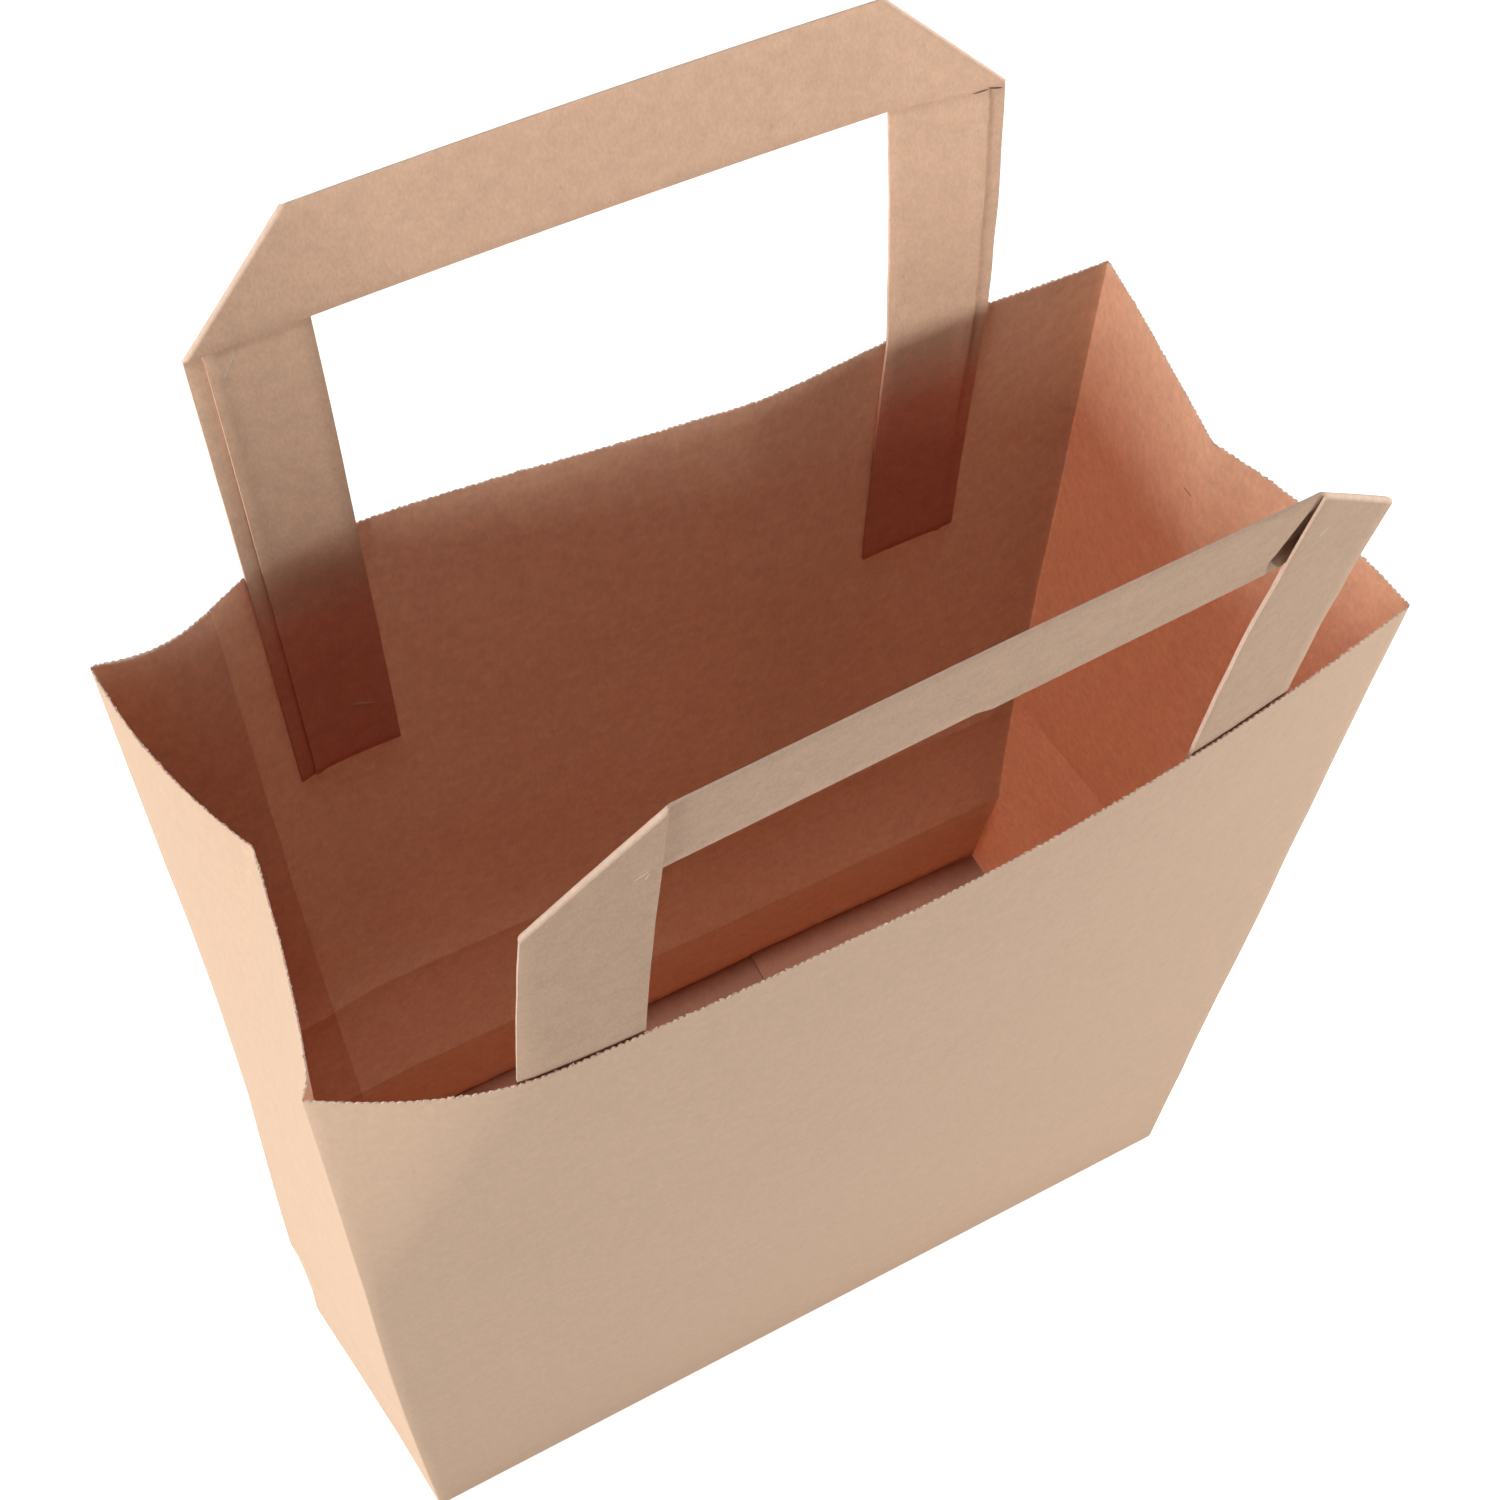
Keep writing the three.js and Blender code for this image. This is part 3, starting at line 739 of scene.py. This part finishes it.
def on_handle(handle, point):
    """Where a point of the flat folded handle lies once the handle is glued in."""
    along, up, inward = point.x, point.y, point.z + LEG_MIDDLE
    side, rise = handle["side"], handle["rise"]
    lean, bend = math.radians(handle["lean"]), math.radians(handle["bend"])
    leg_x = HALF_HANDLE - STRIP_WIDTH / 2
    left_y = wall_y(side, handle["x"] - leg_x, HEIGHT) - side * LEG_CLEAR
    right_y = wall_y(side, handle["x"] + leg_x, HEIGHT) - side * LEG_CLEAR
    risen = clamp(up / bar_low(handle))
    from_middle = along / HANDLE_WIDTH
    lift = handle["tip"] * from_middle + handle["arch"] * (1 - (2 * from_middle) ** 2)
    length = max(up + risen * lift, 0)
    angle = lean + bend * length / rise
    out = rise / bend * (math.cos(lean) - math.cos(angle))
    high = rise / bend * (math.sin(angle) - math.sin(lean))
    x = handle["x"] + along + handle["sway"] * risen
    z = HEIGHT + (high if up > 0 else up)
    on_wall = waved_wall_y(side, x, min(z, HEIGHT)) - side * LEG_CLEAR
    on_sheet = mix(left_y, right_y, (along + leg_x) / (2 * leg_x))
    turned = risen * handle["turn"] * max(along - LEG_EDGE, 0) / STRIP_WIDTH
    out += gape(handle, point) + strip_wave(handle, point) - pocket(handle, point) - inward - turned
    return Vector((x, mix(on_wall, on_sheet, risen) + side * out, z))


# %% Make both handles
EDGE_ROUND = 0.16 * MM
EDGE_ANGLE = math.radians(60)
strips = {}
for name, handle in HANDLES.items():
    strip = folded_strip(name, handle)
    if handle["side"] == FRONT:
        crease_bar(handle)
    add_seam_ply(strip, handle)
    for vertex in strip.data.vertices:
        vertex.co = on_handle(handle, vertex.co)
    if handle["side"] == FRONT:
        strip.data.flip_normals()
    apply_modifier(
        strip,
        "SOLIDIFY",
        thickness=STRIP_THICKNESS,
        offset=0,
        vertex_group="plies",
        use_even_offset=False,
        # The cut edges of the strip take the same paler finish: partly rubbing, partly painted highlight.
        material_offset_rim=RUBBED_HIGHLIT_SLOT,
    )
    apply_modifier(
        strip, "BEVEL", limit_method="ANGLE", angle_limit=EDGE_ANGLE, width=EDGE_ROUND, segments=2
    )
    strips[name] = strip
    print(name, len(strip.data.polygons), "faces, mm:", [round(size / MM, 1) for size in strip.dimensions])

# %% [markdown]
# Brown paper is a felt of fibres: soft clouds a few millimetres wide, short streaks along the way it was
# made, a few dark flecks, and a fine tooth that the light picks up. All of it is procedural, on Object
# coordinates. The outer face is a little greyer than the inner one, and the cut edge is paler. The inside
# of the real bag glows with light that comes through its walls, so the inner face has subsurface
# scattering. The renderer doesn't carry that light on through a second piece of paper, so the glued feet
# of the strips and the floor flaps are coloured redder in its place, as painted glow. The two strips are
# the same paper, but the rear one is painted lighter than the front one, and the right floor flap lighter
# than the left: painted light. The rolled folds and cut edges of the strips are paler, partly from rubbing
# and partly as painted highlight.

# %% The paper finish
def link(material, source, target):
    material.node_tree.links.new(source, target)


def new_noise(material, scale, detail, stretch=(1, 1, 1)):
    """A noise texture on Object coordinates, stretched along the axes."""
    nodes = material.node_tree.nodes
    place = nodes.new("ShaderNodeTexCoord")
    mapping = nodes.new("ShaderNodeMapping")
    mapping.inputs["Scale"].default_value = stretch
    texture = nodes.new("ShaderNodeTexNoise")
    texture.inputs["Scale"].default_value = scale
    texture.inputs["Detail"].default_value = detail
    link(material, place.outputs["Object"], mapping.inputs["Vector"])
    link(material, mapping.outputs["Vector"], texture.inputs["Vector"])
    return texture.outputs["Fac"]


def ramp(material, value, low, high, low_color, high_color):
    """A colour that goes from one to another as a value goes from low to high."""
    made = material.node_tree.nodes.new("ShaderNodeValToRGB")
    made.color_ramp.elements[0].position = low
    made.color_ramp.elements[1].position = high
    made.color_ramp.elements[0].color = (*low_color, 1)
    made.color_ramp.elements[1].color = (*high_color, 1)
    link(material, value, made.inputs["Fac"])
    return made.outputs["Color"]


def blend_colors(material, kind, share, first, second):
    """Two colours blended in a way such as MULTIPLY or MIX; a link or a number as the share."""
    made = material.node_tree.nodes.new("ShaderNodeMix")
    made.data_type = "RGBA"
    made.blend_type = kind
    if isinstance(share, float):
        made.inputs["Factor"].default_value = share
    else:
        link(material, share, made.inputs["Factor"])
    for socket, color in ((made.inputs["A"], first), (made.inputs["B"], second)):
        if isinstance(color, tuple):
            socket.default_value = (*color, 1)
        else:
            link(material, color, socket)
    return made.outputs["Result"]


def shade(color, factor):
    return tuple(min(part * factor, 1.0) for part in color)


SHINES_THROUGH = (0.9, 0.70, 0.75)
SHINE_DEPTH = 1.25 * MM
# Heights over which the painted glow on the glued feet of the strips fades out.
PAINTED_GLOW_FADE = (0.256, 0.282)
PAPER_ROUGHNESS = 0.82
PAPER_GLOSS = 0.25
CLOUD_SCALE = 330
FLECK_SCALE = 700
TOOTH_SCALE = 2600
TOOTH_DEPTH = 0.05 * MM
STREAK_STRETCH = (1, 1, 0.5)
FLECK_STRETCH = (1, 1, 0.6)
SOFT_RANGE = (0.3, 0.7)
FLECK_RANGE = (0.70, 0.78)
FLECK_SHARE = (0.3, 0.3, 0.3)
FLECK_SHADE = 0.6
BLACK, WHITE = (0, 0, 0), (1.0, 1.0, 1.0)


def paint_glow_on_feet(material, body, tint):
    """Paints the glued feet of a strip redder and darker: painted glow, in place of light that comes through
    wall and strip together.
    """
    nodes = material.node_tree.nodes
    place = nodes.new("ShaderNodeTexCoord")
    parts = nodes.new("ShaderNodeSeparateXYZ")
    height = nodes.new("ShaderNodeMapRange")
    height.inputs["From Min"].default_value, height.inputs["From Max"].default_value = PAINTED_GLOW_FADE
    link(material, place.outputs["Object"], parts.inputs["Vector"])
    link(material, parts.outputs["Z"], height.inputs["Value"])
    glow_ramp = ramp(material, height.outputs["Result"], 0.0, 1.0, tint, WHITE)
    return blend_colors(material, "MULTIPLY", 1.0, body, glow_ramp)


def paper_finish(name, color, cloud, streak, tooth, grain=1100, shine=0.0, glow_tint=None):
    """Uncoated brown paper in a colour; grain sets how fine its streaks are, shine lets light through, and a
    glow tint paints the glued feet redder as painted glow.
    """
    material = bpy.data.materials.get(name) or bpy.data.materials.new(name)
    material.use_nodes = True
    shader = material.node_tree.nodes["Principled BSDF"]
    shader.inputs["Roughness"].default_value = PAPER_ROUGHNESS
    shader.inputs["Specular IOR Level"].default_value = PAPER_GLOSS
    shader.inputs["Subsurface Weight"].default_value = shine
    shader.inputs["Subsurface Radius"].default_value = SHINES_THROUGH
    shader.inputs["Subsurface Scale"].default_value = SHINE_DEPTH
    clouds = new_noise(material, CLOUD_SCALE, 3)
    body = ramp(material, clouds, *SOFT_RANGE, shade(color, 1 - cloud), shade(color, 1 + cloud))
    streaks = new_noise(material, grain, 3, STREAK_STRETCH)
    grey = ramp(material, streaks, *SOFT_RANGE, shade(WHITE, 1 - streak), WHITE)
    body = blend_colors(material, "MULTIPLY", 1.0, body, grey)
    flecks = new_noise(material, FLECK_SCALE, 2, FLECK_STRETCH)
    fleck = ramp(material, flecks, *FLECK_RANGE, BLACK, FLECK_SHARE)
    body = blend_colors(material, "MIX", fleck, body, shade(color, FLECK_SHADE))
    if glow_tint:
        body = paint_glow_on_feet(material, body, glow_tint)
    link(material, body, shader.inputs["Base Color"])
    bump = material.node_tree.nodes.new("ShaderNodeBump")
    bump.inputs["Strength"].default_value = tooth
    bump.inputs["Distance"].default_value = TOOTH_DEPTH
    link(material, new_noise(material, TOOTH_SCALE, 3), bump.inputs["Height"])
    link(material, bump.outputs["Normal"], shader.inputs["Normal"])
    return material


# %% Finishes of the sheet and the strips
INSIDE = (0.78, 0.48, 0.32)
OUTSIDE = (0.75, 0.525, 0.37)
# Painted light: the two strips are the same paper, and the rear one is painted much lighter than the front
# one.
STRIP_COLORS_WITH_PAINTED_LIGHT = {
    "front_strip": (0.66, 0.45, 0.315),
    "rear_strip": (0.95, 0.62, 0.425),
    # Paler finishes of the rolled folds and cut edges: partly rubbing, partly painted highlight.
    "front_strip_rubbed_highlit": (0.76, 0.54, 0.41),
    "rear_strip_rubbed_highlit": (0.97, 0.68, 0.51),
}
# Painted glow: the glued feet of the strips are tinted redder and darker below the rim.
PAINTED_GLOW_TINT = (1.0, 0.52, 0.47)
CUT = (0.82, 0.60, 0.48)
# Painted glow: the floor flaps are coloured redder than the inner face, in place of the red light inside the
# bag.
PAINTED_GLOW_FLOOR = (0.74, 0.36, 0.24)
UNDER_FLAP = (0.70, 0.44, 0.30)
# Painted light: the right floor flap is the same paper as the left one, painted 12 percent lighter.
RIGHT_FLAP_PAINTED_LIGHT = 1.12
FLAP_PAPER = {"cloud": 0.05, "streak": 0.08, "tooth": 0.3}

paper_finish("outer_face", OUTSIDE, cloud=0.025, streak=0.06, tooth=0.25)
paper_finish("inner_face", INSIDE, cloud=0.06, streak=0.12, tooth=0.3, shine=1.0)
paper_finish("cut_edge", CUT, cloud=0.08, streak=0.15, tooth=0.5)
flap_finishes = [
    paper_finish("left_flap", PAINTED_GLOW_FLOOR, **FLAP_PAPER),
    paper_finish("right_flap", shade(PAINTED_GLOW_FLOOR, RIGHT_FLAP_PAINTED_LIGHT), **FLAP_PAPER),
    paper_finish("under_flap", UNDER_FLAP, **FLAP_PAPER),
]
for name, color in STRIP_COLORS_WITH_PAINTED_LIGHT.items():
    paper_finish(name, color, cloud=0.05, streak=0.12, tooth=0.2, grain=2000, glow_tint=PAINTED_GLOW_TINT)
print("finishes in use so far:", sorted(m.name for m in bpy.data.materials if m.users))

# %% [markdown]
# Small marks of use, as the photograph shows them: scuffed fibres on the folded corners, a scratch near
# the foot of a leg that is tinted redder as painted glow, two short dark lines of painted shade where a
# small crease of the rear strip lies in shade, and one dark fibre in the paper of the right gusset. Each is
# a thin lens of paper fibre: a circle that is stretched and turned on the flat strip, then set on the handle
# like the strip itself. A mark has its piece, its place on the flat handle in mm, its level, its length and
# width in mm, its turn in degrees and its finish.

# %% Scuffs, scratches, painted crease shade and a dark fibre
MARK_THICKNESS = 0.03 * MM
MARK_POINTS = 14
FIBRE_PAPER = {"cloud": 0.08, "streak": 0.1, "tooth": 0.3}
GUSSET_FIBRE = {"center": (4.4, 256.7), "size": (3.5, 0.3), "angle": -13}
OVER_PLY = 0.51 * MM
OVER_LEG = 0.27 * MM
worn_fibre = paper_finish("worn_fibre", (0.85, 0.66, 0.54), **FIBRE_PAPER)
# A pale scratch on a glued foot, tinted redder: real wear with painted glow.
scratch_with_painted_glow = paper_finish("scratch_with_painted_glow", (0.95, 0.52, 0.42), **FIBRE_PAPER)
painted_crease_shade_and_fibre = paper_finish("painted_crease_shade_and_fibre", (0.24, 0.15, 0.11), **FIBRE_PAPER)
STRIP_MARKS = (
    ("front_strip", (-58.5, 64.3), -OVER_LEG, (2.6, 0.5), 20, worn_fibre),
    ("front_strip", (-57.4, 63.0), -OVER_LEG, (1.6, 0.4), 65, worn_fibre),
    ("front_strip", (60.6, 68.2), -OVER_LEG, (2.8, 0.4), 55, worn_fibre),
    ("rear_strip", (-70.5, 48.9), OVER_PLY, (6.6, 0.35), 58, worn_fibre),
    ("rear_strip", (-61.1, -57.2), OVER_PLY, (6.2, 0.4), -28, scratch_with_painted_glow),
    # Painted shade: these two dark lines stand where a small crease near the top of the right rear leg lies
    # in shade.
    ("rear_strip", (75.8, 52.2), OVER_LEG, (2.8, 0.35), -12, painted_crease_shade_and_fibre),
    ("rear_strip", (72.7, 52.4), OVER_PLY, (3.0, 0.3), 4, painted_crease_shade_and_fibre),
)


def mark(center, size, angle, finish, set_on):
    """A thin lens of fibre on a flat place in mm, moved to the piece by a function."""
    bpy.ops.mesh.primitive_circle_add(vertices=MARK_POINTS, radius=0.5, fill_type="NGON")
    made = bpy.context.object
    made.scale = (size[0] * MM, size[1] * MM, 1)
    made.rotation_euler = (0, 0, math.radians(angle))
    made.location = (center[0] * MM, center[1] * MM, 0)
    bpy.ops.object.transform_apply(location=True, rotation=True, scale=True)
    for vertex in made.data.vertices:
        vertex.co = set_on(vertex.co)
    made.data.materials.append(finish)
    apply_modifier(made, "SOLIDIFY", thickness=MARK_THICKNESS, offset=0)
    return made


def join_to(piece, others):
    """Joins smaller pieces to the piece that they belong to."""
    bpy.ops.object.select_all(action="DESELECT")
    for made in (*others, piece):
        made.select_set(True)
    bpy.context.view_layer.objects.active = piece
    bpy.ops.object.join()


marks = {name: [] for name in HANDLES}
for name, center, level, size, angle, finish in STRIP_MARKS:
    over = Vector((0, 0, level))
    marks[name].append(mark(center, size, angle, finish, lambda p: on_handle(HANDLES[name], p + over)))
for name, made in marks.items():
    join_to(strips[name], made)

INSIDE_GUSSET = Vector((-PAPER - MARK_THICKNESS, 0, 0))


def on_right_gusset(point):
    """Where a flat place across and up the right gusset lies, just inside the paper."""
    return opened(Vector((WIDTH / 2, point.x, point.y))) + INSIDE_GUSSET


fibre = mark(**GUSSET_FIBRE, finish=painted_crease_shade_and_fibre, set_on=on_right_gusset)
print("marks:", {name: len(made) for name, made in marks.items()})

# %% Put the finishes on and join the sheet
SMOOTH_ANGLE = math.radians(35)

for made, finish in zip(plies, flap_finishes):
    made.data.materials.append(finish)
join_to(bag, (*plies, fibre))
for piece in (bag, *strips.values()):
    bpy.ops.object.select_all(action="DESELECT")
    piece.select_set(True)
    bpy.context.view_layer.objects.active = piece
    bpy.ops.object.shade_smooth_by_angle(angle=SMOOTH_ANGLE)
print("bag sheet:", sum(len(f.vertices) - 2 for f in bag.data.polygons), "triangles")

# %% [markdown]
# The studio. In the photograph the left gusset is the brightest face, and the inside glows with light
# that comes through the walls. So soft lamps stand low on the left, the right and behind, the left one
# strongest, a small one lights the front wall and one hangs above. The floor is white to the camera and
# still takes the shadow. It lies a hair below the bag, so that the two faces don't coincide.

# %% Floor and room
FLOOR_SIZE = 8
FLOOR_DROP = 0.02 * MM
FLOOR_GREY = (0.8, 0.8, 0.8, 1)
PURE_WHITE = (1, 1, 1, 1)

bpy.ops.mesh.primitive_plane_add(size=FLOOR_SIZE, location=(0, 0, -FLOOR_DROP))
floor = bpy.context.object
floor.name = "studio_floor"


def seen_directly(tree):
    """1 for rays that show the background itself: from the camera, a mirror or glass."""
    path = tree.nodes.new("ShaderNodeLightPath")
    first = tree.nodes.new("ShaderNodeMath")
    first.operation = "MAXIMUM"
    second = tree.nodes.new("ShaderNodeMath")
    second.operation = "MAXIMUM"
    tree.links.new(path.outputs["Is Camera Ray"], first.inputs[0])
    tree.links.new(path.outputs["Is Glossy Ray"], first.inputs[1])
    tree.links.new(first.outputs[0], second.inputs[0])
    tree.links.new(path.outputs["Is Transmission Ray"], second.inputs[1])
    return second.outputs[0]


FLOOR_GLOW = 0.72
floor_white = bpy.data.materials.new("floor_white")
floor_white.use_nodes = True
tree = floor_white.node_tree
tree.nodes.remove(tree.nodes["Principled BSDF"])
matt = tree.nodes.new("ShaderNodeBsdfDiffuse")
matt.inputs["Color"].default_value = FLOOR_GREY
glow = tree.nodes.new("ShaderNodeEmission")
glow.inputs["Strength"].default_value = FLOOR_GLOW
both = tree.nodes.new("ShaderNodeAddShader")
choice = tree.nodes.new("ShaderNodeMixShader")
tree.links.new(matt.outputs["BSDF"], both.inputs[0])
tree.links.new(glow.outputs["Emission"], both.inputs[1])
tree.links.new(seen_directly(tree), choice.inputs["Fac"])
tree.links.new(matt.outputs["BSDF"], choice.inputs[1])
tree.links.new(both.outputs["Shader"], choice.inputs[2])
tree.links.new(choice.outputs["Shader"], tree.nodes["Material Output"].inputs["Surface"])
floor.data.materials.append(floor_white)

ROOM_LIGHT = 0.06
room = bpy.data.worlds.new("pale_room")
bpy.context.scene.world = room
room.use_nodes = True
tree = room.node_tree
soft = tree.nodes["Background"]
soft.inputs["Color"].default_value = PURE_WHITE
soft.inputs["Strength"].default_value = ROOM_LIGHT
white = tree.nodes.new("ShaderNodeBackground")
white.inputs["Color"].default_value = PURE_WHITE
white.inputs["Strength"].default_value = 1.0
choice = tree.nodes.new("ShaderNodeMixShader")
tree.links.new(seen_directly(tree), choice.inputs["Fac"])
tree.links.new(soft.outputs["Background"], choice.inputs[1])
tree.links.new(white.outputs["Background"], choice.inputs[2])
tree.links.new(choice.outputs["Shader"], tree.nodes["World Output"].inputs["Surface"])
print("room light", ROOM_LIGHT)

# %% Lamps
LAMP_AIM = Vector((0, 0, HEIGHT))
LAMPS = {
    "left_lamp": {"turn": 189, "rise": 2.5, "distance": 2.2, "size": 0.8, "light": 0.88},
    "front_lamp": {"turn": 320, "rise": -0.8, "distance": 0.9, "size": 0.12, "light": 0.42},
    "right_lamp": {"turn": 5, "rise": 1, "distance": 2.2, "size": 0.8, "light": 0.65},
    "back_lamp": {"turn": 95, "rise": 1, "distance": 2.2, "size": 0.8, "light": 0.19},
    "top_lamp": {"turn": 0, "rise": 90, "distance": 2.2, "size": 0.5, "light": 0.42},
}


def add_lamp(name, lamp):
    """A square soft lamp aimed at the bag; light is the share of white that it gives a face turned to it."""
    turn_angle, rise = math.radians(lamp["turn"]), math.radians(lamp["rise"])
    level = math.cos(rise)
    away = Vector((level * math.cos(turn_angle), level * math.sin(turn_angle), math.sin(rise)))
    data = bpy.data.lights.new(name, "AREA")
    data.size = lamp["size"]
    data.energy = lamp["light"] * math.pi**2 * lamp["distance"] ** 2
    made = bpy.data.objects.new(name, data)
    bpy.context.scene.collection.objects.link(made)
    made.location = LAMP_AIM + lamp["distance"] * away
    made.rotation_euler = away.to_track_quat("Z", "Y").to_euler()
    return made


for name, lamp in LAMPS.items():
    print(name, "at", [round(v, 2) for v in add_lamp(name, lamp).location])

# %% [markdown]
# The camera stands close above the front left corner and looks steeply down, so the rim and both handles
# fill the frame. Its place and its focal length in pixels were fitted to the bag's corners in the
# photograph.

# %% Camera
IMAGE = 1500
SENSOR = 36
FOCAL_PIXELS = 2397.5
FOCAL = FOCAL_PIXELS / IMAGE * SENSOR
CAMERA_PLACE = Vector((-0.1181, -0.1960, 0.6524))
CAMERA_RIGHT = Vector((0.88482, -0.46493, 0.03058))
CAMERA_AHEAD = Vector((0.26405, 0.44629, -0.85505))
AXIS_ABOVE_MIDDLE = 100
NEAREST_SEEN = 0.01

camera_data = bpy.data.cameras.new("photo_camera")
camera_data.sensor_width = SENSOR
camera_data.lens = FOCAL
camera_data.shift_y = -AXIS_ABOVE_MIDDLE / IMAGE
camera_data.clip_start = NEAREST_SEEN
camera = bpy.data.objects.new("photo_camera", camera_data)
bpy.context.scene.collection.objects.link(camera)
camera_back = -CAMERA_AHEAD.normalized()
camera_right = (CAMERA_RIGHT - CAMERA_RIGHT.dot(camera_back) * camera_back).normalized()
camera_up = camera_back.cross(camera_right)
turned = Matrix((camera_right, camera_up, camera_back)).transposed().to_4x4()
camera.matrix_world = Matrix.Translation(CAMERA_PLACE) @ turned
bpy.context.scene.camera = camera
bpy.context.scene.view_settings.view_transform = "Standard"
print("camera lens, mm:", round(camera_data.lens, 1))

# %% [markdown]
# Last, each piece takes the place of its solid and rides on the bag's one body. The distances of the new
# pieces' points from the solids show that the walls and strips have not drifted. The sprung floor flaps
# have points only at their corners, so their raised middles don't show in it. The solids are hidden, not
# removed.

# %% Tie the pieces to the frame
STANDS_FOR = {"bag_sheet": "bag_body", "front_strip": "front_handle", "rear_strip": "rear_handle"}
for piece in (bag, *strips.values()):
    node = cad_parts[STANDS_FOR[piece.name]]
    solid = BVHTree.FromPolygons(
        [v.co for v in node.data.vertices], [p.vertices[:] for p in node.data.polygons]
    )
    gaps = [solid.find_nearest(v.co)[3] for v in piece.data.vertices]
    mean, most = round(sum(gaps) / len(gaps) / MM, 2), round(max(gaps) / MM, 2)
    print(piece.name, "points from its solid, mm: mean", mean, "most", most)
    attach(piece, "root")
    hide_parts(STANDS_FOR[piece.name])
